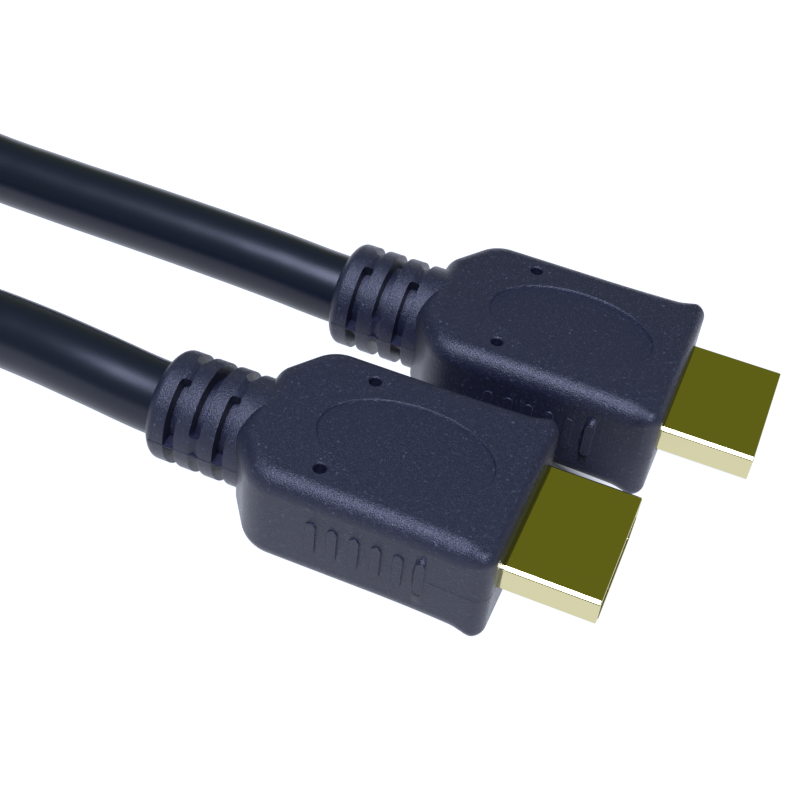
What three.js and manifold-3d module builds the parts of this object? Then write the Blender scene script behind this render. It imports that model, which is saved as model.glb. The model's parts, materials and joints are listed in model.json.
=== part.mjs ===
// HDMI cable: two plugs lying side by side on a level floor, and the one cable that joins them.
// Millimetres. +X is the way both plugs push into their sockets, +Z is up and the floor is z = 0.
// The origin is on the floor, at the middle of the box around both plugs.
import * as THREE from 'three';
import { mergeVertices } from 'three/addons/utils/BufferGeometryUtils.js';
import Module from 'manifold-3d';

const wasm = await Module();
wasm.setup();

// Moulded plug body
const body_length = 26.2;
const body_width = 18.5;
const body_thickness = 11.1;
const body_edge_radius = 1.4;
const front_width = 19.8;
const flare_length = 8;
const shoulder_length = 4.2;
const rear_face_width = 9;
const corner_radius = 1.6;

// Ribbed strain relief behind the body, from the cable end to the body
const relief_length = 10.8;
const relief_radius = 5.4;
const relief_valley_depth = 0.35;
const end_ring_length = 3.4;
const ring_length = 2.55;
const ring_count = 3;
const slot_width = 1;
const slot_depth = 1.15;
const slot_bridge_degrees = 27;
const collar_overlap = 2.5;

// Grip bars on both sides of the body
const bar_count = 6;
const bar_pitch = 2.1;
const bar_width = 1;
const bar_height = 4.2;
const bar_relief = 0.25;
const bar_from_front = 6.4;
const bar_root = 0.4;

// Oval panel and mould-pin holes in the top of the body
const oval_length = 17;
const oval_width = 10.6;
const oval_depth = 0.25;
const oval_from_front = 11.9;
const pin_hole_diameter = 1.2;
const pin_hole_depth = 1.5;
const pin_hole_from_front = 17.7;
const pin_hole_spacing = 12.5;

// Metal shell of the plug
const shell_width = 13.9;
const shell_height = 4.45;
const shell_wall = 0.3;
const shell_exposed = 9.1;
const shell_seat = 4.5;
const shell_corner_radius = 0.5;
const shell_side_height = 2.75;
const shell_floor_width = 10.6;

// Insulator inside the shell, and the contacts in its slot
const insulator_setback = 0.8;
const slot_mouth_width = 11.2;
const slot_mouth_height = 2;
const slot_mouth_depth = 6.6;
const upper_contact_count = 10;
const lower_contact_count = 9;
const contact_pitch = 1;
const contact_width = 0.45;
const contact_thickness = 0.25;
const contact_length = 5.4;
const contact_gap = 0.12;

// How the two plugs lie
const plug_spacing = 23.3;
const plug_stagger = 8.4;

// Cable, its coil and the tie that holds the coil
const cable_diameter = 7.4;
const coil_mean_diameter = 74;
const coil_columns = 3;
const coil_layers = 2;
const coil_centre_x = -136;
const coil_centre_y = 2;
const tie_width = 12;
const tie_thickness = 0.8;
const tie_corner_radius = 2.5;

// Clearance between two pieces that touch
const seat_gap = 0.3;

const plug_axis_height = body_thickness / 2;
const plug_rear = body_length + relief_length;
const plug_a_front_x = (plug_rear - plug_stagger - shell_exposed) / 2;
const plug_b_front_x = plug_a_front_x + plug_stagger;
const plug_a_y = -plug_spacing / 2;
const plug_b_y = plug_spacing / 2;
const cable_radius = cable_diameter / 2;
const coil_bottom = tie_thickness + seat_gap;

const moulding = new THREE.MeshStandardMaterial({ color: 0x2d3244, roughness: 0.55, metalness: 0 });
const jacket = new THREE.MeshStandardMaterial({ color: 0x262d3c, roughness: 0.35, metalness: 0 });
const gold = new THREE.MeshStandardMaterial({ color: 0xc9b25a, roughness: 0.25, metalness: 1 });
const black_plastic = new THREE.MeshStandardMaterial({ color: 0x141416, roughness: 0.5, metalness: 0 });
const tie_fabric = new THREE.MeshStandardMaterial({ color: 0x16171a, roughness: 0.9, metalness: 0 });

// Turns a closed three.js geometry into a solid that can be joined and cut.
function solid_from(geometry) {
  const bare = geometry.clone();
  bare.deleteAttribute('normal');
  bare.deleteAttribute('uv');
  const merged = mergeVertices(bare, 1e-5);
  const corners = merged.index.array;
  const kept = [];
  for (let i = 0; i < corners.length; i += 3) {
    const [a, b, c] = [corners[i], corners[i + 1], corners[i + 2]];
    if (a !== b && b !== c && c !== a) kept.push(a, b, c);
  }
  return new wasm.Manifold(new wasm.Mesh({
    numProp: 3,
    vertProperties: new Float32Array(merged.attributes.position.array),
    triVerts: new Uint32Array(kept),
  }));
}

// Turns a joined or cut solid back into a three.js geometry.
function geometry_from(solid) {
  const mesh = solid.getMesh();
  const geometry = new THREE.BufferGeometry();
  geometry.setAttribute('position', new THREE.BufferAttribute(mesh.vertProperties, 3));
  geometry.setIndex(new THREE.BufferAttribute(mesh.triVerts, 1));
  geometry.computeVertexNormals();
  return geometry;
}

function named_mesh(name, geometry, material) {
  const mesh = new THREE.Mesh(geometry, material);
  mesh.name = name;
  return mesh;
}

function box_between(low, high) {
  const size = high.map((value, i) => value - low[i]);
  const geometry = new THREE.BoxGeometry(...size);
  geometry.translate(...low.map((value, i) => value + size[i] / 2));
  return geometry;
}

// A shape drawn in X and Y becomes a section in Y and Z, extruded along +X from start_x.
function extrude_along_x(shape, start_x, length, curve_segments = 4) {
  const geometry = new THREE.ExtrudeGeometry(shape, {
    depth: length,
    bevelEnabled: false,
    curveSegments: curve_segments,
  });
  geometry.applyMatrix4(new THREE.Matrix4().makeBasis(
    new THREE.Vector3(0, 1, 0),
    new THREE.Vector3(0, 0, 1),
    new THREE.Vector3(1, 0, 0),
  ));
  geometry.translate(start_x, 0, 0);
  return geometry;
}

// Rounds the corner of an outline at one point, between the lines that meet there.
function round_corner(path, before, corner, after, radius) {
  const towards_before = before.clone().sub(corner).normalize().multiplyScalar(radius);
  const towards_after = after.clone().sub(corner).normalize().multiplyScalar(radius);
  const start = corner.clone().add(towards_before);
  const end = corner.clone().add(towards_after);
  path.lineTo(start.x, start.y);
  path.quadraticCurveTo(corner.x, corner.y, end.x, end.y);
}

// Plan of the body seen from above. Its sides flare towards the front, and its rear shoulders slant.
// It runs a little past the front, where it is cut off square.
function body_plan(past_front) {
  const half_side = body_width / 2;
  const half_front = front_width / 2;
  const flare_slope = (half_front - half_side) / (flare_length / 2);
  const half_past = half_front + past_front * flare_slope;
  const corner_x = -(body_length - shoulder_length);
  const point = (x, y) => new THREE.Vector2(x, y);
  const plan = new THREE.Shape();
  plan.moveTo(past_front, -half_past);
  plan.lineTo(past_front, half_past);
  plan.lineTo(0, half_front);
  plan.quadraticCurveTo(-flare_length / 2, half_side, -flare_length, half_side);
  const outline = [
    point(-flare_length, half_side),
    point(corner_x, half_side),
    point(-body_length, rear_face_width / 2),
    point(-body_length, -rear_face_width / 2),
    point(corner_x, -half_side),
    point(-flare_length, -half_side),
  ];
  for (let i = 1; i < outline.length - 1; i += 1) {
    round_corner(plan, outline[i - 1], outline[i], outline[i + 1], corner_radius);
  }
  plan.lineTo(-flare_length, -half_side);
  plan.quadraticCurveTo(-flare_length / 2, -half_side, 0, -half_front);
  plan.lineTo(past_front, -half_past);
  return plan;
}

function body_block() {
  const past_front = 3;
  const geometry = new THREE.ExtrudeGeometry(body_plan(past_front), {
    depth: body_thickness - 2 * body_edge_radius,
    bevelEnabled: true,
    bevelThickness: body_edge_radius,
    bevelSize: body_edge_radius,
    bevelOffset: -body_edge_radius,
    bevelSegments: 3,
    curveSegments: 5,
  });
  geometry.translate(0, 0, body_edge_radius - body_thickness / 2);
  const beyond = box_between(
    [0, -front_width, -body_thickness],
    [2 * past_front, front_width, body_thickness],
  );
  return solid_from(geometry).subtract(solid_from(beyond));
}

// Where the gap behind each ring lies, counted from the body's front.
function relief_gap_x(index) {
  return -plug_rear + end_ring_length + index * ring_length;
}

// Turned form of the strain relief: the rings, with a rounded valley between each two.
function relief_rings() {
  const crest = relief_radius;
  const valley = relief_radius - relief_valley_depth;
  const shoulder = 0.5;
  const profile = [new THREE.Vector2(0, -plug_rear)];
  const add_ring = (from_x, to_x) => {
    profile.push(new THREE.Vector2(valley, from_x));
    profile.push(new THREE.Vector2(crest, from_x + shoulder));
    profile.push(new THREE.Vector2(crest, to_x - shoulder));
  };
  let ring_start = -plug_rear;
  for (let i = 0; i < ring_count; i += 1) {
    add_ring(ring_start, relief_gap_x(i));
    ring_start = relief_gap_x(i);
  }
  add_ring(ring_start, -body_length + collar_overlap);
  profile.push(new THREE.Vector2(0, -body_length + collar_overlap));
  const geometry = new THREE.LatheGeometry(profile, 36);
  geometry.rotateZ(-Math.PI / 2);
  return solid_from(geometry);
}

// One flex slot of the strain relief: part of a ring-shaped cut, centred on one direction.
function relief_slot(centre_x, centre_angle) {
  const core_radius = relief_radius - slot_depth;
  const outer_radius = relief_radius + 1;
  const half_span = THREE.MathUtils.degToRad((180 - slot_bridge_degrees) / 2);
  const sector = new THREE.Shape();
  sector.absarc(0, 0, outer_radius, centre_angle - half_span, centre_angle + half_span, false);
  sector.absarc(0, 0, core_radius, centre_angle + half_span, centre_angle - half_span, true);
  sector.closePath();
  return solid_from(extrude_along_x(sector, centre_x - slot_width / 2, slot_width, 14));
}

function grip_bar(centre_x, side) {
  const half_straight = (bar_height - bar_width) / 2;
  const outline = new THREE.Shape();
  outline.absarc(0, half_straight, bar_width / 2, 0, Math.PI, false);
  outline.absarc(0, -half_straight, bar_width / 2, Math.PI, 2 * Math.PI, false);
  outline.closePath();
  const geometry = new THREE.ExtrudeGeometry(outline, {
    depth: bar_root + bar_relief,
    bevelEnabled: false,
    curveSegments: 5,
  });
  geometry.rotateX(Math.PI / 2);
  const outer_y = body_width / 2 + bar_relief;
  const start_y = side > 0 ? outer_y : -body_width / 2 + bar_root;
  geometry.translate(centre_x, start_y, 0);
  return solid_from(geometry);
}

function oval_recess() {
  const oval = new THREE.Shape();
  oval.absellipse(0, 0, oval_length / 2, oval_width / 2, 0, 2 * Math.PI, false, 0);
  const geometry = new THREE.ExtrudeGeometry(oval, {
    depth: oval_depth + 1,
    bevelEnabled: false,
    curveSegments: 20,
  });
  geometry.translate(-oval_from_front, 0, body_thickness / 2 - oval_depth);
  return solid_from(geometry);
}

function pin_hole(y) {
  const length = pin_hole_depth + 1;
  const geometry = new THREE.CylinderGeometry(
    pin_hole_diameter / 2, pin_hole_diameter / 2, length, 12,
  );
  geometry.rotateX(Math.PI / 2);
  geometry.translate(-pin_hole_from_front, y, body_thickness / 2 - pin_hole_depth + length / 2);
  return solid_from(geometry);
}

// Section of the plug's shell: upright sides, then lower corners that slant inwards.
// Inset 0 is the shell's outer face, and a negative inset lies outside it.
function shell_section(inset) {
  const half_top = shell_width / 2 - inset;
  const half_floor = shell_floor_width / 2 - inset * 0.8;
  const top = shell_height / 2 - inset;
  const bottom = -shell_height / 2 + inset;
  const side_low = shell_height / 2 - shell_side_height;
  const radius = Math.max(shell_corner_radius - inset / 2, 0.15);
  const section = new THREE.Shape();
  const outline = [
    new THREE.Vector2(-half_top, top),
    new THREE.Vector2(-half_top, side_low),
    new THREE.Vector2(-half_floor, bottom),
    new THREE.Vector2(half_floor, bottom),
    new THREE.Vector2(half_top, side_low),
    new THREE.Vector2(half_top, top),
  ];
  section.moveTo(0, top);
  for (let i = 0; i < outline.length; i += 1) {
    const before = i === 0 ? new THREE.Vector2(0, top) : outline[i - 1];
    const after = i === outline.length - 1 ? new THREE.Vector2(0, top) : outline[i + 1];
    round_corner(section, before, outline[i], after, radius);
  }
  section.closePath();
  return section;
}

function shell_pocket() {
  return solid_from(extrude_along_x(
    shell_section(-seat_gap), -shell_seat - seat_gap, shell_seat + seat_gap + 1, 3,
  ));
}

function make_overmold(name) {
  let moulded = body_block().add(relief_rings());
  for (let i = 0; i < bar_count; i += 1) {
    const x = -bar_from_front - i * bar_pitch;
    moulded = moulded.add(grip_bar(x, 1)).add(grip_bar(x, -1));
  }
  for (let i = 0; i < ring_count; i += 1) {
    const first_angle = i % 2 === 0 ? 0 : Math.PI / 2;
    moulded = moulded.subtract(relief_slot(relief_gap_x(i), first_angle));
    moulded = moulded.subtract(relief_slot(relief_gap_x(i), first_angle + Math.PI));
  }
  moulded = moulded.subtract(oval_recess());
  moulded = moulded.subtract(pin_hole(pin_hole_spacing / 2));
  moulded = moulded.subtract(pin_hole(-pin_hole_spacing / 2));
  moulded = moulded.subtract(shell_pocket());
  return named_mesh(name, geometry_from(moulded), moulding);
}

function make_shell(name) {
  const section = shell_section(0);
  section.holes.push(shell_section(shell_wall));
  const geometry = extrude_along_x(section, -shell_seat, shell_seat + shell_exposed, 3);
  return named_mesh(name, geometry, gold);
}

function make_insulator(name) {
  const block = extrude_along_x(
    shell_section(shell_wall + seat_gap),
    -shell_seat,
    shell_seat + shell_exposed - insulator_setback,
    3,
  );
  const front_x = shell_exposed - insulator_setback;
  const slot = box_between(
    [front_x - slot_mouth_depth, -slot_mouth_width / 2, -slot_mouth_height / 2],
    [front_x + 1, slot_mouth_width / 2, slot_mouth_height / 2],
  );
  return named_mesh(name, geometry_from(solid_from(block).subtract(solid_from(slot))), black_plastic);
}

// Upper and lower rows of contacts, half a pitch apart, that lie just off the slot's two faces.
function make_contacts(plug_name) {
  const front_x = shell_exposed - insulator_setback;
  const rear_x = front_x - slot_mouth_depth + contact_gap;
  const contacts = [];
  const rows = [
    { count: upper_contact_count, side: 1 },
    { count: lower_contact_count, side: -1 },
  ];
  for (const row of rows) {
    for (let i = 0; i < row.count; i += 1) {
      const y = (i - (row.count - 1) / 2) * contact_pitch;
      const outer_z = row.side * (slot_mouth_height / 2 - contact_gap);
      const inner_z = outer_z - row.side * contact_thickness;
      const number = String(contacts.length + 1).padStart(2, '0');
      contacts.push(named_mesh(`${plug_name}_contact_${number}`, box_between(
        [rear_x, y - contact_width / 2, Math.min(inner_z, outer_z)],
        [rear_x + contact_length, y + contact_width / 2, Math.max(inner_z, outer_z)],
      ), gold));
    }
  }
  return contacts;
}

function make_plug(plug_name, front_x, y) {
  const plug = new THREE.Group();
  plug.add(make_overmold(`${plug_name}_overmold`));
  plug.add(make_shell(`${plug_name}_shell`));
  plug.add(make_insulator(`${plug_name}_insulator`));
  plug.add(...make_contacts(plug_name));
  plug.position.set(front_x, y, plug_axis_height);
  return plug;
}

// Outline with round corners, centred on one point.
function rounded_rectangle(PathClass, centre_x, centre_y, width, height, radius) {
  const [x, y] = [centre_x - width / 2, centre_y - height / 2];
  const path = new PathClass();
  path.absarc(x + radius, y + radius, radius, Math.PI, 1.5 * Math.PI, false);
  path.absarc(x + width - radius, y + radius, radius, 1.5 * Math.PI, 2 * Math.PI, false);
  path.absarc(x + width - radius, y + height - radius, radius, 0, 0.5 * Math.PI, false);
  path.absarc(x + radius, y + height - radius, radius, 0.5 * Math.PI, Math.PI, false);
  path.closePath();
  return path;
}

// The wound cable as one turned ring with round edges, grown outwards by a given margin.
function coil_ring(margin) {
  const width = coil_columns * cable_diameter + 2 * margin;
  const height = coil_layers * cable_diameter + 2 * margin;
  const section = rounded_rectangle(
    THREE.Path,
    coil_mean_diameter / 2,
    coil_bottom + coil_layers * cable_radius,
    width,
    height,
    cable_radius + margin,
  );
  const profile = section.getPoints(4);
  profile.push(profile[0].clone());
  const geometry = new THREE.LatheGeometry(profile, 60);
  geometry.rotateX(Math.PI / 2);
  geometry.translate(coil_centre_x, coil_centre_y, 0);
  return solid_from(geometry);
}

// Routes of the two stretches of cable that aren't coiled, chosen by hand.
// Each one starts straight out of its plug's strain relief and ends on the coil's outer turn.
const route_a = [
  [plug_a_front_x - plug_rear - seat_gap, plug_a_y, plug_axis_height],
  [-35, -11.5, 5.5],
  [-42.5, -10.9, 5.4],
  [-50, -10.4, 5.2],
  [-59, -10.2, 5],
  [-67.2, -10.3, 4.9],
  [-75.1, -11, 4.8],
  [-82.7, -13, 4.75],
  [-89.9, -16.4, 4.75],
  [-96.4, -20.9, 4.8],
  [-102, -26.5, 4.8],
];
const route_b = [
  [plug_b_front_x - plug_rear - seat_gap, plug_b_y, plug_axis_height],
  [-27, 11.8, 5.5],
  [-36, 12, 5.35],
  [-45, 12.2, 5.2],
  [-54, 12.4, 5.15],
  [-64, 12.8, 5.3],
  [-72.6, 13.5, 6.3],
  [-81, 15.8, 8.4],
  [-88.8, 19.4, 10.6],
  [-95.9, 24.5, 12],
  [-102, 30.5, 12.2],
];

function make_cable_run(name, route) {
  const path = new THREE.CatmullRomCurve3(route.map((point) => new THREE.Vector3(...point)));
  const section = new THREE.Shape();
  section.absarc(0, 0, cable_radius, 0, 2 * Math.PI, false);
  const geometry = new THREE.ExtrudeGeometry(section, {
    steps: 16,
    extrudePath: path,
    curveSegments: 6,
  });
  const run = solid_from(geometry).subtract(coil_ring(seat_gap));
  return named_mesh(name, geometry_from(run), jacket);
}

// The tie is a flat band around the coil, on the side away from the plugs.
function make_coil_tie(name) {
  const inner_turn_radius = coil_mean_diameter / 2 - coil_columns * cable_radius;
  const curve_room = tie_width ** 2 / (8 * inner_turn_radius);
  const hole_width = coil_columns * cable_diameter + 2 * (seat_gap + curve_room);
  const hole_height = coil_layers * cable_diameter + 2 * seat_gap;
  const centre_x = coil_centre_x - coil_mean_diameter / 2;
  const centre_z = coil_bottom + coil_layers * cable_radius;
  const band = rounded_rectangle(
    THREE.Shape, centre_x, centre_z,
    hole_width + 2 * tie_thickness, hole_height + 2 * tie_thickness,
    tie_corner_radius + tie_thickness,
  );
  band.holes.push(rounded_rectangle(
    THREE.Path, centre_x, centre_z, hole_width, hole_height, tie_corner_radius,
  ));
  const geometry = new THREE.ExtrudeGeometry(band, {
    depth: tie_width,
    bevelEnabled: false,
    curveSegments: 4,
  });
  geometry.rotateX(Math.PI / 2);
  geometry.translate(0, coil_centre_y + tie_width / 2, 0);
  return named_mesh(name, geometry, tie_fabric);
}

const hdmi_cable = new THREE.Group();
hdmi_cable.add(make_plug('plug_a', plug_a_front_x, plug_a_y));
hdmi_cable.add(make_plug('plug_b', plug_b_front_x, plug_b_y));
hdmi_cable.add(make_cable_run('cable_run_a', route_a));
hdmi_cable.add(make_cable_run('cable_run_b', route_b));
hdmi_cable.add(named_mesh('cable_coil', geometry_from(coil_ring(0)), jacket));
hdmi_cable.add(make_coil_tie('coil_tie'));

export default hdmi_cable;
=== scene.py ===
"""Looks of the HDMI cable: two moulded plugs with gold shells, and the one cable that joins them."""

import json
import math

import bmesh
import bpy
from mathutils import Matrix, Vector


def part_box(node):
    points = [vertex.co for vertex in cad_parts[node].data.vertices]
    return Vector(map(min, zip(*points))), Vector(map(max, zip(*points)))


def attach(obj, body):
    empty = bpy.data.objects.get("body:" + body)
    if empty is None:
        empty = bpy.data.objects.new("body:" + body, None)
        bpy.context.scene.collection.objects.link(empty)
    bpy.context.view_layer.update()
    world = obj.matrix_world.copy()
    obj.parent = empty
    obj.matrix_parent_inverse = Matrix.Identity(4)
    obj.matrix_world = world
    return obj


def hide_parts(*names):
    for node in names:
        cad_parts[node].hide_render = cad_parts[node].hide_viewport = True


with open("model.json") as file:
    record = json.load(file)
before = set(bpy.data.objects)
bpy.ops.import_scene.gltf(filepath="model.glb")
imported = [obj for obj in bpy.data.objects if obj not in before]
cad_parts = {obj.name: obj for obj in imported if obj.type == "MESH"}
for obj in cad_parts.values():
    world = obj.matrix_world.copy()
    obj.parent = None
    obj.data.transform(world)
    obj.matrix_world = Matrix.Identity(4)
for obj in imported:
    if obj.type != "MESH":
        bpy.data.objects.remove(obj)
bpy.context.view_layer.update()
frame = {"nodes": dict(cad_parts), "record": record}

MM = 0.001
PLUGS = ("plug_a", "plug_b")

# Camera, fitted to the photograph
CAMERA_PLACE = Vector((23.48, -97.08, 101.72)) * MM
CAMERA_AZIMUTH = math.radians(17.44)
CAMERA_ELEVATION = math.radians(43.72)
CAMERA_ROLL = math.radians(6.98)
CAMERA_LENS = 63.545

# Moulded body, in its plug's own frame: x from the front face, y across, z from the middle
HALF_THICKNESS = 5.55 * MM
HALF_WIDTH = 9.55 * MM
HALF_FRONT = 9.86 * MM
FLARE_START = -11 * MM
FLARE_STEPS = 10
FRONT_CORNER_RADIUS = 1.7 * MM
SHOULDER_X = -23.3 * MM
SHOULDER_RADIUS = 4 * MM
REAR_X = -26.8 * MM
REAR_HALF_WIDTH = 4.6 * MM
REAR_CORNER_RADIUS = 2.5 * MM
EDGE_RADIUS = 1.9 * MM
SIDE_RADIUS = 2.1 * MM
EDGE_TURN = math.radians(50)
EDGE_STEPS = 6
FRONT_EDGE_SCALE = 0.55
FRONT_EDGE_FADE = 2 * MM
OUTLINE_SPACING = 0.8 * MM
FLASH_HEIGHT = 0.02 * MM
FLASH_HALF_THICKNESS = 0.04 * MM
FLASH_START = -7 * MM
FLASH_FADE = 2 * MM
FLASH_REAR_SHARE = 0.25

# Ribbed strain relief
RELIEF_REAR = -36.35 * MM
RELIEF_END = -24 * MM
RELIEF_CREST = 5.5 * MM
RELIEF_VALLEY = 5.25 * MM
RELIEF_MOUTH = 3.75 * MM
RELIEF_ROUND_END = 1.15 * MM
GAP_WIDTH = 1.1 * MM
GAP_CENTRES = (-33.4 * MM, -30.85 * MM, -28.3 * MM)
GAP_DEPTH = 1.45 * MM
GROOVE_SHAPE = ((-1, 0), (-0.6, 0.15), (-0.3, 0.65), (0, 1), (0.3, 0.85), (0.7, 0.35), (1.2, 0))
SIDE_SLOT_HALF_SPAN = math.radians(77)
BRIDGE_LOW = math.radians(-7)
BRIDGE_HIGH = math.radians(20)

# Grip bars, oval panel and mould-pin holes
BAR_COUNT = 6
BAR_FROM_FRONT = 6.4 * MM
BAR_PITCH = 2.1 * MM
BAR_WIDTH = 1 * MM
BAR_HEIGHT = 4.1 * MM
BAR_RELIEF = 0.15 * MM
BAR_ROUNDING = 0.06 * MM
BAR_ROOT = 0.3 * MM
OVAL_CENTRE = Vector((-11.9, -0.4)) * MM
OVAL_SIZE = Vector((17, 10.9)) * MM
OVAL_DEPTH = 0.22 * MM
OVAL_DRAFT = 0.13 * MM
OVAL_LIP = 0.04 * MM
OVAL_LIP_DEPTH = 0.03 * MM
PIN_HOLE_X = -17.7 * MM
PIN_HOLE_SPACING = 12.5 * MM
PIN_HOLE_RADIUS = 0.6 * MM
PIN_HOLE_DEPTH = 1.5 * MM
PIN_HOLE_CHAMFER = 0.12 * MM
PIN_HOLE_TAPER = 0.9
CUT_OVERSHOOT = 1 * MM

# Metal shell
SHELL_HALF_WIDTH = 6.95 * MM
SHELL_HALF_HEIGHT = 2.225 * MM
SHELL_SIDE_LOW = -0.5 * MM
SHELL_FLOOR_HALF_WIDTH = 5.3 * MM
SHELL_WALL = 0.3 * MM
SHELL_CORNER_RADIUS = 0.3 * MM
SHELL_BEVEL = 0.38 * MM
SHELL_BEVEL_TILT = math.radians(33)
SHELL_SMALL_RADIUS = 0.1 * MM
SHELL_TIP = 9.1 * MM
SHELL_SEAT = -4.5 * MM
SHELL_TIP_ROUNDING = 0.13 * MM
SHELL_TIP_STEPS = 3
POCKET_CLEARANCE = 0.04 * MM
POCKET_END_CLEARANCE = 0.1 * MM

# Cable and its coil, in the row frame
CABLE_DIAMETER = 7.4 * MM
CABLE_TUCK = 3 * MM
COIL_CENTRE = Vector((-136, 2)) * MM
COIL_RADIUS = 36.9 * MM
COIL_LOW_Z = 4.8 * MM
COIL_HIGH_Z = 12.2 * MM
COIL_POINTS_PER_TURN = 24
COIL_START_DEGREES = -40
COIL_END_DEGREES = 40 - 6 * 360
COIL_SHIFT_DEGREES = 80
COIL_INWARD_SHIFTS = (24 - 360, 24 - 2 * 360)
COIL_RISE = 37 - 3 * 360
COIL_OUTWARD_SHIFTS = (50 - 4 * 360, 50 - 5 * 360)
ROUTE_A = (
    (-27.55, -11.65, 5.55), (-35, -11.3, 5.95), (-42.5, -10.65, 5.9), (-50, -10.2, 5.6),
    (-59, -10.1, 5.25), (-67.2, -10.3, 4.95), (-75.1, -11, 4.8), (-82.7, -13, 4.75),
    (-89.9, -16.4, 4.75), (-96.4, -20.9, 4.8), (-102, -26.5, 4.8),
)
ROUTE_B = (
    (-19.15, 11.65, 5.55), (-27, 11.95, 5.7), (-36, 12.25, 5.7), (-45, 12.5, 5.6),
    (-54, 12.7, 5.5), (-64, 13, 5.6), (-72.6, 13.55, 6.4), (-81, 15.8, 8.4),
    (-88.8, 19.4, 10.6), (-95.9, 24.5, 12), (-102, 30.5, 12.2),
)

# The painted shadow on the floor between the plugs, placed from plug A's front face
PAINTED_GAP_SHADOW_MIDDLE = Vector((-6, 0, 0)) * MM
PAINTED_GAP_SHADOW_SIZE = Vector((14, 6, 6)) * MM

# Tie around the coil
TIE_THICKNESS = 0.5 * MM
TIE_SIDE_GAP = 0.35 * MM
TIE_END_GAP = 0.05 * MM
TIE_CORNER_RADIUS = 2.8 * MM
TIE_STEPS = 8

# Floor and studio light
FLOOR_HALF_SIZE = 3
FLOOR_DROP = 0.02 * MM
FLOOR_GLOW_COLOUR = (0.83, 0.87, 1)
FLOOR_GLOW = 1.2
# Glow of the floor at the middle of the painted shadow between the plugs
PAINTED_GAP_SHADOW_GLOW = 0.05
LIGHT_PLACE = Vector((0, -0.2, 0.6))
LIGHT_SIZE = 0.5
LIGHT_WATTS = 7.8
LIGHT_COLOUR = (0.83, 0.9, 1.3)
HORIZON_COLOUR = (0.8, 0.8, 0.8)
CEILING_COLOUR = (0.185, 0.205, 0.028)


def make_camera():
    camera = bpy.data.objects.new("camera", bpy.data.cameras.new("camera"))
    bpy.context.scene.collection.objects.link(camera)
    az, el, roll = CAMERA_AZIMUTH, CAMERA_ELEVATION, CAMERA_ROLL
    forward = Vector((-math.sin(az) * math.cos(el), math.cos(az) * math.cos(el), -math.sin(el)))
    level_right = Vector((math.cos(az), math.sin(az), 0))
    level_up = level_right.cross(forward)
    right = math.cos(roll) * level_right + math.sin(roll) * level_up
    up = right.cross(forward)
    axes = Matrix((right, up, -forward)).transposed().to_4x4()
    camera.matrix_world = Matrix.Translation(CAMERA_PLACE) @ axes
    camera.data.lens = CAMERA_LENS
    camera.data.sensor_width = 36
    camera.data.clip_start = 0.005
    bpy.context.scene.camera = camera


def new_material(name, base_color, roughness, metallic=0.0):
    material = bpy.data.materials.new(name)
    material.use_nodes = True
    shader = material.node_tree.nodes["Principled BSDF"]
    shader.inputs["Base Color"].default_value = (*base_color, 1)
    shader.inputs["Roughness"].default_value = roughness
    shader.inputs["Metallic"].default_value = metallic
    return material, shader


def add_node(material, kind, **values):
    node = material.node_tree.nodes.new(kind)
    for name, value in values.items():
        if name in node.inputs:
            node.inputs[name].default_value = value
        else:
            setattr(node, name, value)
    return node


def object_noise(material, scale, detail=2.0, roughness=0.5):
    """Noise in the row frame, with scale in features per metre."""
    coordinates = add_node(material, "ShaderNodeTexCoord")
    noise = add_node(material, "ShaderNodeTexNoise", Scale=scale, Detail=detail, Roughness=roughness)
    material.node_tree.links.new(coordinates.outputs["Object"], noise.inputs["Vector"])
    return noise


def colour_ramp(material, factor, stops):
    """A colour that follows factor through (position, colour) stops."""
    ramp = add_node(material, "ShaderNodeValToRGB")
    while len(ramp.color_ramp.elements) < len(stops):
        ramp.color_ramp.elements.new(1)
    for element, (position, colour) in zip(ramp.color_ramp.elements, stops):
        element.position = position
        element.color = (*colour, 1)
    material.node_tree.links.new(factor, ramp.inputs["Fac"])
    return ramp.outputs["Color"]


def add_bump(material, shader, height, strength, distance, after=None):
    links = material.node_tree.links
    bump = add_node(material, "ShaderNodeBump", Strength=strength, Distance=distance)
    links.new(height, bump.inputs["Height"])
    if after is not None:
        links.new(after.outputs["Normal"], bump.inputs["Normal"])
    links.new(bump.outputs["Normal"], shader.inputs["Normal"])
    return bump


def moulded_plastic():
    """Spark-eroded PVC: fine even grain that glints where the light catches it, with a few pale specks in the
    base colour that are dust and painted glints.
    """
    material, shader = new_material("moulded_plastic", (0.011, 0.012, 0.026), 0.3)
    shader.inputs["IOR"].default_value = 1.4
    mottle_and_painted_glints = object_noise(material, 3200, 3, 0.6)
    colour = colour_ramp(material, mottle_and_painted_glints.outputs["Fac"], [
        (0.35, (0.009, 0.01, 0.022)), (0.6, (0.012, 0.0135, 0.028)),
        # The palest stop paints pale specks: dust, and painted glints of the grain
        (0.64, (0.015, 0.017, 0.034)), (0.7, (0.05, 0.055, 0.082)),
    ])
    material.node_tree.links.new(colour, shader.inputs["Base Color"])
    grain = object_noise(material, 6800, 3, 0.6)
    add_bump(material, shader, grain.outputs["Fac"], 1, 0.00007)
    return material


def cable_jacket():
    """Smooth extruded PVC with a very slight waviness along it."""
    material, shader = new_material("cable_jacket", (0.003, 0.005, 0.012), 0.3)
    shader.inputs["IOR"].default_value = 1.4
    waves = object_noise(material, 160, 1)
    first = add_bump(material, shader, waves.outputs["Fac"], 0.25, 0.0003)
    grain = object_noise(material, 5200, 1)
    add_bump(material, shader, grain.outputs["Fac"], 0.12, 0.00003, first)
    return material


def gold_plate():
    material, shader = new_material("gold_plate", (0.6, 0.55, 0.3), 0.07, 1.0)
    brushed = object_noise(material, 500, 2)
    add_bump(material, shader, brushed.outputs["Fac"], 0.03, 0.00003)
    return material


def contact_gold():
    material, shader = new_material("contact_gold", (0.8, 0.62, 0.24), 0.22, 1.0)
    wear = object_noise(material, 2500, 2)
    add_bump(material, shader, wear.outputs["Fac"], 0.1, 0.00002)
    return material


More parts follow.
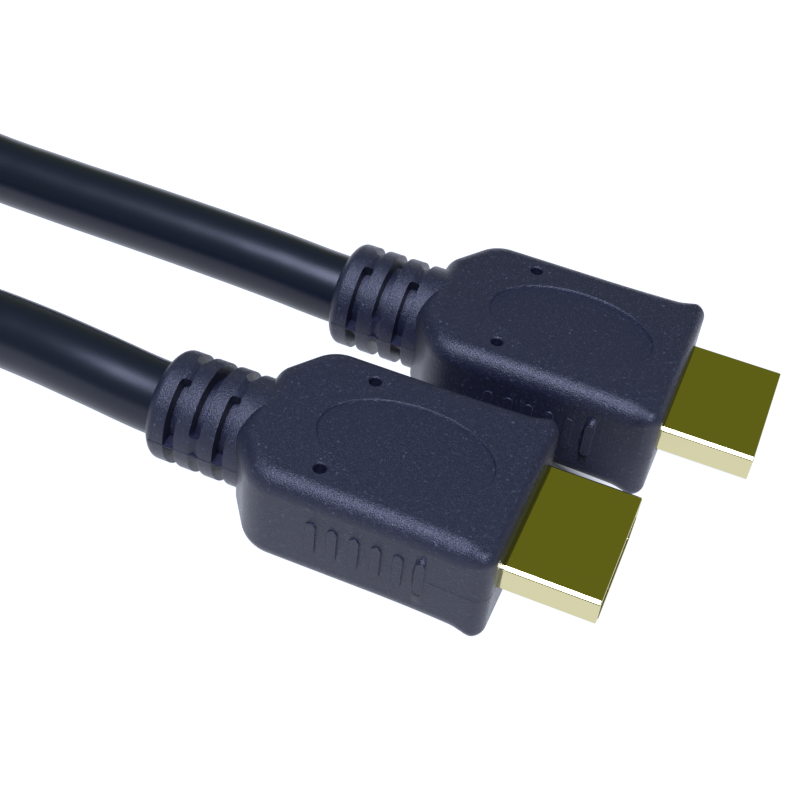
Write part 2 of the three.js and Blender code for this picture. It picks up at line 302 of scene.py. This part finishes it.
def black_insulator():
    material, shader = new_material("black_insulator", (0.008, 0.008, 0.009), 0.45)
    grain = object_noise(material, 3500, 2)
    add_bump(material, shader, grain.outputs["Fac"], 0.25, 0.00003)
    return material


def tie_fabric():
    material, shader = new_material("tie_fabric", (0.011, 0.011, 0.013), 0.92)
    loops = object_noise(material, 2600, 4, 0.7)
    add_bump(material, shader, loops.outputs["Fac"], 0.9, 0.0003)
    return material


def white_floor():
    """A floor that glows pure white, with a painted shadow: its glow is dimmed by place in a patch between
    the plugs.
    """
    material, shader = new_material("white_floor", (0.05, 0.05, 0.05), 0.9)
    links = material.node_tree.links
    # Painted shadow: the glow is dimmed towards a patch between the plugs, set by place on the floor
    coordinates = add_node(material, "ShaderNodeTexCoord")
    gap = add_node(material, "ShaderNodeMapping", vector_type="TEXTURE")
    gap.inputs["Location"].default_value = plug_place("plug_a") * Vector((1, 0, 0)) + PAINTED_GAP_SHADOW_MIDDLE
    gap.inputs["Scale"].default_value = PAINTED_GAP_SHADOW_SIZE
    painted_shadow_falloff = add_node(material, "ShaderNodeTexGradient", gradient_type="SPHERICAL")
    glow_with_painted_shadow = add_node(material, "ShaderNodeMapRange")
    glow_with_painted_shadow.inputs["From Max"].default_value = 0.35
    glow_with_painted_shadow.inputs["To Min"].default_value = FLOOR_GLOW
    glow_with_painted_shadow.inputs["To Max"].default_value = PAINTED_GAP_SHADOW_GLOW
    links.new(coordinates.outputs["Object"], gap.inputs["Vector"])
    links.new(gap.outputs["Vector"], painted_shadow_falloff.inputs["Vector"])
    links.new(painted_shadow_falloff.outputs["Fac"], glow_with_painted_shadow.inputs["Value"])
    shader.inputs["Emission Color"].default_value = (*FLOOR_GLOW_COLOUR, 1)
    links.new(glow_with_painted_shadow.outputs["Result"], shader.inputs["Emission Strength"])
    return material


def loft(rings, wrap=False):
    """A closed mesh through rings with as many points each. With wrap, the last ring joins the first."""
    mesh = bmesh.new()
    rows = [[mesh.verts.new(point) for point in ring] for ring in rings]
    pairs = list(zip(rows, rows[1:]))
    if wrap:
        pairs.append((rows[-1], rows[0]))
    for lower, upper in pairs:
        for i, corner in enumerate(lower):
            j = (i + 1) % len(lower)
            mesh.faces.new((corner, lower[j], upper[j], upper[i]))
    if not wrap:
        mesh.faces.new(list(reversed(rows[0])))
        mesh.faces.new(rows[-1])
    bmesh.ops.recalc_face_normals(mesh, faces=mesh.faces)
    return mesh


def object_from(mesh, name, material=None):
    data = bpy.data.meshes.new(name)
    mesh.to_mesh(data)
    mesh.free()
    piece = bpy.data.objects.new(name, data)
    bpy.context.scene.collection.objects.link(piece)
    if material is not None:
        data.materials.append(material)
    return piece


def settle(piece):
    """Turns the piece's modifiers into mesh."""
    graph = bpy.context.evaluated_depsgraph_get()
    settled = bpy.data.meshes.new_from_object(piece.evaluated_get(graph))
    piece.modifiers.clear()
    piece.data = settled


def combine(piece, tool_mesh, operation):
    """Joins a mesh to the piece, or cuts it out."""
    tool = object_from(tool_mesh, "tool")
    modifier = piece.modifiers.new("combine", "BOOLEAN")
    modifier.operation = operation
    modifier.solver = "EXACT"
    modifier.object = tool
    settle(piece)
    bpy.data.objects.remove(tool)


def shade_smooth(piece, angle_degrees):
    """Smooth shading, with edges sharper than the angle kept, and flat faces left flat."""
    piece.data.polygons.foreach_set("use_smooth", [True] * len(piece.data.polygons))
    piece.data.set_sharp_from_angle(angle=math.radians(angle_degrees))
    weighted = piece.modifiers.new("weighted", "WEIGHTED_NORMAL")
    weighted.keep_sharp = True
    weighted.weight = 100


def arc_corner(before, corner, after, radius, steps):
    """Points of a round corner between the lines to the points before and after."""
    to_before = (before - corner).normalized()
    to_after = (after - corner).normalized()
    half_angle = to_before.angle(to_after) / 2
    reach = radius / math.tan(half_angle)
    middle = corner + (to_before + to_after).normalized() * (radius / math.sin(half_angle))
    start = corner + to_before * reach - middle
    end = corner + to_after * reach - middle
    turn = start.angle_signed(end)
    points = []
    for i in range(steps + 1):
        spoke = start.copy()
        spoke.rotate(Matrix.Rotation(-turn * i / steps, 2))
        points.append(middle + spoke)
    return points


def rounded_outline(corners, steps):
    """A closed outline from (x, y, radius) corners."""
    points = []
    for i, (x, y, radius) in enumerate(corners):
        before = Vector(corners[i - 1][:2])
        after = Vector(corners[(i + 1) % len(corners)][:2])
        points += arc_corner(before, Vector((x, y)), after, radius, steps)
    return points


def spaced(points, spacing):
    """The same closed outline with a point added wherever two lie further apart than spacing."""
    result = []
    for start, end in zip(points, points[1:] + points[:1]):
        count = max(1, math.ceil((end - start).length / spacing))
        result += [start.lerp(end, i / count) for i in range(count)]
    return result


def body_plan():
    """Closed outline of the body from above, from the far end of the front face round to the near one."""
    flare = []
    for i in range(FLARE_STEPS + 1):
        share = 1 - i / FLARE_STEPS
        x = FLARE_START + share * (-FRONT_CORNER_RADIUS - FLARE_START)
        flare.append(Vector((x, HALF_WIDTH + share ** 2 * (HALF_FRONT - HALF_WIDTH))))
    front_radius = 0.9 * FRONT_CORNER_RADIUS
    front = arc_corner(Vector((0, 0)), Vector((0, HALF_FRONT)), flare[0], front_radius, 8)
    shoulder = Vector((SHOULDER_X, HALF_WIDTH))
    rear = Vector((REAR_X, REAR_HALF_WIDTH))
    far_side = front + flare[1:]
    far_side += arc_corner(flare[-1], shoulder, rear, SHOULDER_RADIUS, 12)
    far_side += arc_corner(shoulder, rear, Vector((REAR_X, 0)), REAR_CORNER_RADIUS, 10)
    near_side = [Vector((point.x, -point.y)) for point in reversed(far_side)]
    return spaced(far_side + near_side, OUTLINE_SPACING)


def outward_normals(outline):
    normals = []
    for i, _ in enumerate(outline):
        along = (outline[(i + 1) % len(outline)] - outline[i - 1]).normalized()
        normals.append(Vector((-along.y, along.x)))
    area = sum(a.cross(b) for a, b in zip(outline, outline[1:] + outline[:1]))
    return [n if area < 0 else -n for n in normals]


def clamped(share):
    return min(1, max(0, share))


def edge_scale(point):
    """How large the rounding along the top and bottom edges is: smaller at the front face."""
    share = clamped((-point.x - FRONT_CORNER_RADIUS / 2) / FRONT_EDGE_FADE)
    return FRONT_EDGE_SCALE + share * (1 - FRONT_EDGE_SCALE)


def edge_profile():
    """How far the top edge has come in and down, from the top face to the upright side."""
    points = []
    edge_in = EDGE_RADIUS * math.sin(EDGE_TURN)
    edge_down = EDGE_RADIUS * (1 - math.cos(EDGE_TURN))
    total_in = edge_in + SIDE_RADIUS * (1 - math.sin(EDGE_TURN))
    for i in range(EDGE_STEPS + 1):
        turn = EDGE_TURN * i / EDGE_STEPS
        points.append((total_in - EDGE_RADIUS * math.sin(turn), EDGE_RADIUS * (1 - math.cos(turn))))
    for i in range(1, EDGE_STEPS + 1):
        turn = EDGE_TURN + (math.pi / 2 - EDGE_TURN) * i / EDGE_STEPS
        out = SIDE_RADIUS * (math.sin(turn) - math.sin(EDGE_TURN))
        down = SIDE_RADIUS * (math.cos(EDGE_TURN) - math.cos(turn))
        points.append((total_in - edge_in - out, edge_down + down))
    return points


def flash_at(point):
    """Height of the thin line where the mould's halves met: highest on the flared front part of the sides."""
    share = clamped((point.x - FLASH_START) / FLASH_FADE)
    return FLASH_HEIGHT * (FLASH_REAR_SHARE + (1 - FLASH_REAR_SHARE) * share)


def body_mesh():
    outline = body_plan()
    normals = outward_normals(outline)
    scales = [edge_scale(point) for point in outline]
    edges = [
        [(p - n * s * inwards, HALF_THICKNESS - s * down) for p, n, s in zip(outline, normals, scales)]
        for inwards, down in edge_profile()
    ]
    flash = [
        (0, 2 * FLASH_HALF_THICKNESS), (1, FLASH_HALF_THICKNESS),
        (1, -FLASH_HALF_THICKNESS), (0, -2 * FLASH_HALF_THICKNESS),
    ]
    top = [[Vector((p.x, p.y, z)) for p, z in ring] for ring in edges]
    middle = [
        [Vector((*(p + n * out * flash_at(p)), z)) for p, n in zip(outline, normals)]
        for out, z in flash
    ]
    bottom = [[Vector((p.x, p.y, -z)) for p, z in ring] for ring in reversed(edges)]
    return loft(top + middle + bottom)


def circle_ring(x, radius, count=72):
    turns = [2 * math.pi * i / count for i in range(count)]
    return [Vector((x, radius * math.cos(t), radius * math.sin(t))) for t in turns]


def relief_profile():
    """Radius of the strain relief along x: a round end at the cable, then shallow grooves between rings."""
    profile = []
    steps = 10
    for i in range(steps + 1):
        turn = math.pi / 2 * i / steps
        radius = RELIEF_MOUTH + (RELIEF_CREST - RELIEF_MOUTH) * math.sin(turn)
        profile.append((RELIEF_REAR + RELIEF_ROUND_END * (1 - math.cos(turn)), radius))
    for gap in GAP_CENTRES:
        for along, down in GROOVE_SHAPE:
            radius = RELIEF_CREST - down * (RELIEF_CREST - RELIEF_VALLEY)
            profile.append((gap + along * GAP_WIDTH / 2, radius))
    profile.append((RELIEF_END, RELIEF_CREST))
    return profile


def slot_mesh(centre_x, from_angle, to_angle):
    """Part of a ring-shaped cut with round ends. Angle 0 points to -Y, and 90 degrees points up."""
    inner = RELIEF_CREST - GAP_DEPTH
    outer = RELIEF_CREST + CUT_OVERSHOOT
    steps = 30
    half = GAP_WIDTH / 2
    round_angle = half / RELIEF_CREST
    rings = []
    for i in range(steps + 1):
        share = (1 - math.cos(math.pi * i / steps)) / 2
        turn = from_angle + share * (to_angle - from_angle)
        past_end = max(0, round_angle - min(turn - from_angle, to_angle - turn)) / round_angle
        reach = max(0.05, math.sqrt(max(0, 1 - past_end ** 2))) * half
        rings.append([
            Vector((centre_x + dx, -radius * math.cos(turn), radius * math.sin(turn)))
            for dx, radius in ((-reach, inner), (reach, inner), (reach, outer), (-reach, outer))
        ])
    return loft(rings)


def relief_flash_mesh():
    """The thin line where the mould's halves met, on both sides of the strain relief."""
    half = RELIEF_CREST + FLASH_HEIGHT
    low, high = RELIEF_REAR + 0.8 * MM, REAR_X + 1 * MM
    corners = [(-half, -FLASH_HALF_THICKNESS), (half, -FLASH_HALF_THICKNESS),
               (half, FLASH_HALF_THICKNESS), (-half, FLASH_HALF_THICKNESS)]
    return loft([[Vector((x, y, z)) for y, z in corners] for x in (low, high)])


def stadium(width, height, steps=10):
    """Outline of a bar with round ends, in x and z."""
    radius = width / 2
    straight = height / 2 - radius
    points = []
    for i in range(steps + 1):
        turn = math.pi * i / steps
        points.append(Vector((radius * math.cos(turn), straight + radius * math.sin(turn))))
    for i in range(steps + 1):
        turn = math.pi * (1 + i / steps)
        points.append(Vector((radius * math.cos(turn), -straight + radius * math.sin(turn))))
    return points


def bar_mesh(centre_x, side):
    """A raised bar on the side of the body, a little narrower at its face."""
    rings = []
    for out, shrink in ((-BAR_ROOT, 0), (BAR_RELIEF - BAR_ROUNDING, 0), (BAR_RELIEF, BAR_ROUNDING)):
        outline = stadium(BAR_WIDTH - 2 * shrink, BAR_HEIGHT - 2 * shrink)
        y = side * (HALF_WIDTH + out)
        rings.append([Vector((centre_x + p.x, y, p.y)) for p in outline])
    return loft(rings)


def oval_mesh():
    """The shallow oval cut, with sloping sides and a small lip at the top face."""
    count = 96
    rings = []
    for z, out in (
        (HALF_THICKNESS - OVAL_DEPTH, -OVAL_DRAFT), (HALF_THICKNESS - OVAL_LIP_DEPTH, -OVAL_LIP / 2),
        (HALF_THICKNESS, OVAL_LIP), (HALF_THICKNESS + CUT_OVERSHOOT, OVAL_LIP),
    ):
        ring = []
        for i in range(count):
            turn = 2 * math.pi * i / count
            x = OVAL_CENTRE.x + (OVAL_SIZE.x / 2 + out) * math.cos(turn)
            ring.append(Vector((x, OVAL_CENTRE.y + (OVAL_SIZE.y / 2 + out) * math.sin(turn), z)))
        rings.append(ring)
    return loft(rings)


def pin_hole_mesh(y):
    rings = []
    count = 32
    mouth = PIN_HOLE_RADIUS + PIN_HOLE_CHAMFER
    turns = [2 * math.pi * i / count for i in range(count)]
    for radius, z in (
        (PIN_HOLE_RADIUS * PIN_HOLE_TAPER, HALF_THICKNESS - PIN_HOLE_DEPTH),
        (PIN_HOLE_RADIUS, HALF_THICKNESS - PIN_HOLE_CHAMFER),
        (mouth, HALF_THICKNESS), (mouth, HALF_THICKNESS + CUT_OVERSHOOT),
    ):
        ring = [(radius * math.cos(turn), radius * math.sin(turn)) for turn in turns]
        rings.append([Vector((PIN_HOLE_X + dx, y + dy, z)) for dx, dy in ring])
    return loft(rings)


def shell_section(inset):
    """Section of the shell across the plug: bevelled top edges, upright sides, and a narrower floor."""
    half = SHELL_HALF_WIDTH - inset
    floor = SHELL_FLOOR_HALF_WIDTH - 0.8 * inset
    top = SHELL_HALF_HEIGHT - inset
    small = SHELL_SMALL_RADIUS
    radius = max(SHELL_CORNER_RADIUS - inset, small)
    flat = half - SHELL_BEVEL
    drop = SHELL_BEVEL * math.tan(SHELL_BEVEL_TILT)
    return rounded_outline([
        (flat, top, small), (-flat, top, small), (-half, top - drop, 0.75 * radius),
        (-half, SHELL_SIDE_LOW, radius), (-floor, -top, radius), (floor, -top, radius),
        (half, SHELL_SIDE_LOW, radius), (half, top - drop, 0.75 * radius),
    ], 6)


def shell_ring(x, inset):
    return [Vector((x, p.x, p.y)) for p in shell_section(inset)]


def pocket_mesh():
    """The cut in the body that the shell sits in, a hair larger than the shell."""
    bottom = SHELL_SEAT - POCKET_END_CLEARANCE
    return loft([shell_ring(x, -POCKET_CLEARANCE) for x in (bottom, CUT_OVERSHOOT)])


def make_moulding(plug, material):
    piece = object_from(body_mesh(), f"{plug}_moulding", material)
    relief = loft([circle_ring(x, r) for x, r in relief_profile()])
    combine(piece, relief, "UNION")
    half_turn = math.pi
    rear_gap, middle_gap, front_gap = GAP_CENTRES
    for gap in (rear_gap, front_gap):
        for middle in (0, half_turn):
            slot = slot_mesh(gap, middle - SIDE_SLOT_HALF_SPAN, middle + SIDE_SLOT_HALF_SPAN)
            combine(piece, slot, "DIFFERENCE")
    combine(piece, slot_mesh(middle_gap, BRIDGE_HIGH, half_turn - BRIDGE_HIGH), "DIFFERENCE")
    combine(piece, slot_mesh(middle_gap, half_turn - BRIDGE_LOW, 2 * half_turn + BRIDGE_LOW), "DIFFERENCE")
    combine(piece, relief_flash_mesh(), "UNION")
    for i in range(BAR_COUNT):
        for side in (-1, 1):
            combine(piece, bar_mesh(-BAR_FROM_FRONT - i * BAR_PITCH, side), "UNION")
    combine(piece, oval_mesh(), "DIFFERENCE")
    for side in (-1, 1):
        combine(piece, pin_hole_mesh(side * PIN_HOLE_SPACING / 2), "DIFFERENCE")
    combine(piece, pocket_mesh(), "DIFFERENCE")
    shade_smooth(piece, 35)
    return piece


def make_shell(plug, material):
    """The metal shell: a tube with a rounded tip."""
    wall, rounding = SHELL_WALL, SHELL_TIP_ROUNDING
    stations = [(SHELL_SEAT, 0), (0, 0), (SHELL_TIP / 2, 0), (SHELL_TIP - rounding, 0)]
    turns = [math.pi / 2 * i / SHELL_TIP_STEPS for i in range(SHELL_TIP_STEPS + 1)]
    for turn in turns[1:]:
        stations.append((SHELL_TIP - rounding + rounding * math.sin(turn), rounding * (1 - math.cos(turn))))
    for turn in turns:
        inset = wall - rounding + rounding * math.sin(turn)
        stations.append((SHELL_TIP - rounding + rounding * math.cos(turn), inset))
    stations += [(SHELL_TIP / 2, wall), (SHELL_SEAT, wall)]
    mesh = loft([shell_ring(x, inset) for x, inset in stations], wrap=True)
    piece = object_from(mesh, f"{plug}_gold_shell", material)
    shade_smooth(piece, 40)
    return piece


def plug_place(plug):
    """Where the plug's own frame lies: the middle of its front face."""
    low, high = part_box(f"{plug}_overmold")
    return Vector((high.x, (low.y + high.y) / 2, (low.z + high.z) / 2))


def coil_points():
    """Centreline of the coil: clockwise, out to in on the lower layer, then in to out on the upper one."""
    def eased(angle, shift):
        share = clamped((shift - angle) / COIL_SHIFT_DEGREES)
        return (1 - math.cos(math.pi * share)) / 2

    sweep = COIL_START_DEGREES - COIL_END_DEGREES
    count = math.ceil(sweep / 360 * COIL_POINTS_PER_TURN)
    points = []
    for i in range(1, count):
        angle = COIL_START_DEGREES - sweep * i / count
        inwards = sum(eased(angle, shift) for shift in COIL_INWARD_SHIFTS)
        outwards = sum(eased(angle, shift) for shift in COIL_OUTWARD_SHIFTS)
        radius = COIL_RADIUS + CABLE_DIAMETER * (1 - inwards + outwards)
        z = COIL_LOW_Z + (COIL_HIGH_Z - COIL_LOW_Z) * eased(angle, COIL_RISE)
        turn = math.radians(angle)
        x = COIL_CENTRE.x + radius * math.cos(turn)
        points.append(Vector((x, COIL_CENTRE.y + radius * math.sin(turn), z)))
    return points


def make_cable(material):
    """One curve from plug A through the coil to plug B, and its length."""
    into_relief = Vector((CABLE_TUCK, 0, 0))
    route_a = [Vector(point) * MM for point in ROUTE_A]
    route_b = [Vector(point) * MM for point in reversed(ROUTE_B)]
    points = [route_a[0] + into_relief, *route_a, *coil_points(), *route_b, route_b[-1] + into_relief]
    data = bpy.data.curves.new("cable", "CURVE")
    data.dimensions = "3D"
    data.resolution_u = 8
    data.bevel_depth = CABLE_DIAMETER / 2
    data.bevel_resolution = 10
    data.use_fill_caps = True
    spline = data.splines.new("BEZIER")
    spline.bezier_points.add(len(points) - 1)
    for knot, point in zip(spline.bezier_points, points):
        knot.co = point
        knot.handle_left_type = knot.handle_right_type = "AUTO"
    data.materials.append(material)
    piece = bpy.data.objects.new("cable", data)
    bpy.context.scene.collection.objects.link(piece)
    return piece, spline.calc_length()


def make_tie(material):
    """A flat strap around the coil, on the side away from the plugs."""
    low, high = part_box("coil_tie")
    outer, inner = [], []
    for i in range(TIE_STEPS + 1):
        y = low.y + (high.y - low.y) * i / TIE_STEPS
        for rings, inset in ((outer, 0), (inner, TIE_THICKNESS)):
            side, end = TIE_SIDE_GAP + inset, TIE_END_GAP + inset
            x0, x1 = low.x + side, high.x - side
            z0, z1 = low.z + end, high.z - end
            radius = TIE_CORNER_RADIUS - inset
            corners = [(x0, z0, radius), (x1, z0, radius), (x1, z1, radius), (x0, z1, radius)]
            outline = rounded_outline(corners, 6)
            rings.append([Vector((p.x, y, p.y)) for p in outline])
    mesh = loft(outer + list(reversed(inner)), wrap=True)
    piece = object_from(mesh, "tie_strap", material)
    shade_smooth(piece, 40)
    return piece


def make_stage(material):
    size = FLOOR_HALF_SIZE
    mesh = bmesh.new()
    corners = [(-size, -size), (size, -size), (size, size), (-size, size)]
    mesh.faces.new([mesh.verts.new((x, y, 0)) for x, y in corners])
    floor = object_from(mesh, "floor", material)
    floor.location.z = -FLOOR_DROP


def make_lighting():
    """One soft round lamp above, and a studio with a pale horizon under a dim ceiling."""
    lamp = bpy.data.lights.new("overhead", "AREA")
    lamp.shape = "DISK"
    lamp.size = LIGHT_SIZE
    lamp.energy = LIGHT_WATTS
    lamp.color = LIGHT_COLOUR
    light = bpy.data.objects.new("overhead", lamp)
    light.location = LIGHT_PLACE
    light.rotation_euler = (-LIGHT_PLACE).to_track_quat("-Z", "Y").to_euler()
    bpy.context.scene.collection.objects.link(light)
    world = bpy.data.worlds.new("studio")
    bpy.context.scene.world = world
    world.use_nodes = True
    direction = add_node(world, "ShaderNodeTexCoord")
    parts = add_node(world, "ShaderNodeSeparateXYZ")
    world.node_tree.links.new(direction.outputs["Generated"], parts.inputs["Vector"])
    colour = colour_ramp(world, parts.outputs["Z"], [(0.04, HORIZON_COLOUR), (0.09, CEILING_COLOUR)])
    background = world.node_tree.nodes["Background"]
    world.node_tree.links.new(colour, background.inputs["Color"])
    bpy.context.scene.view_settings.view_transform = "Standard"


make_camera()
materials = {
    "moulding": moulded_plastic(),
    "cable_jacket": cable_jacket(),
    "gold_shell": gold_plate(),
    "gold_contact": contact_gold(),
    "insulator": black_insulator(),
    "tie": tie_fabric(),
}

cable, cable_length = make_cable(materials["cable_jacket"])
tie = make_tie(materials["tie"])
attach(cable, "root")
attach(tie, "root")
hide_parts("cable_run_a", "cable_run_b", "cable_coil")
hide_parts("coil_tie")

for plug in PLUGS:
    place = plug_place(plug)
    for make, slot, node in (
        (make_moulding, "moulding", "overmold"),
        (make_shell, "gold_shell", "shell"),
    ):
        piece = make(plug, materials[slot])
        piece.location = place
        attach(piece, "root")
        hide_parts(f"{plug}_{node}")

slots = {row["node"]: row["material_slot"] for row in frame["record"]["subparts"]}
for name, node in frame["nodes"].items():
    node.data.materials.clear()
    node.data.materials.append(materials[slots[name]])

make_stage(white_floor())
make_lighting()
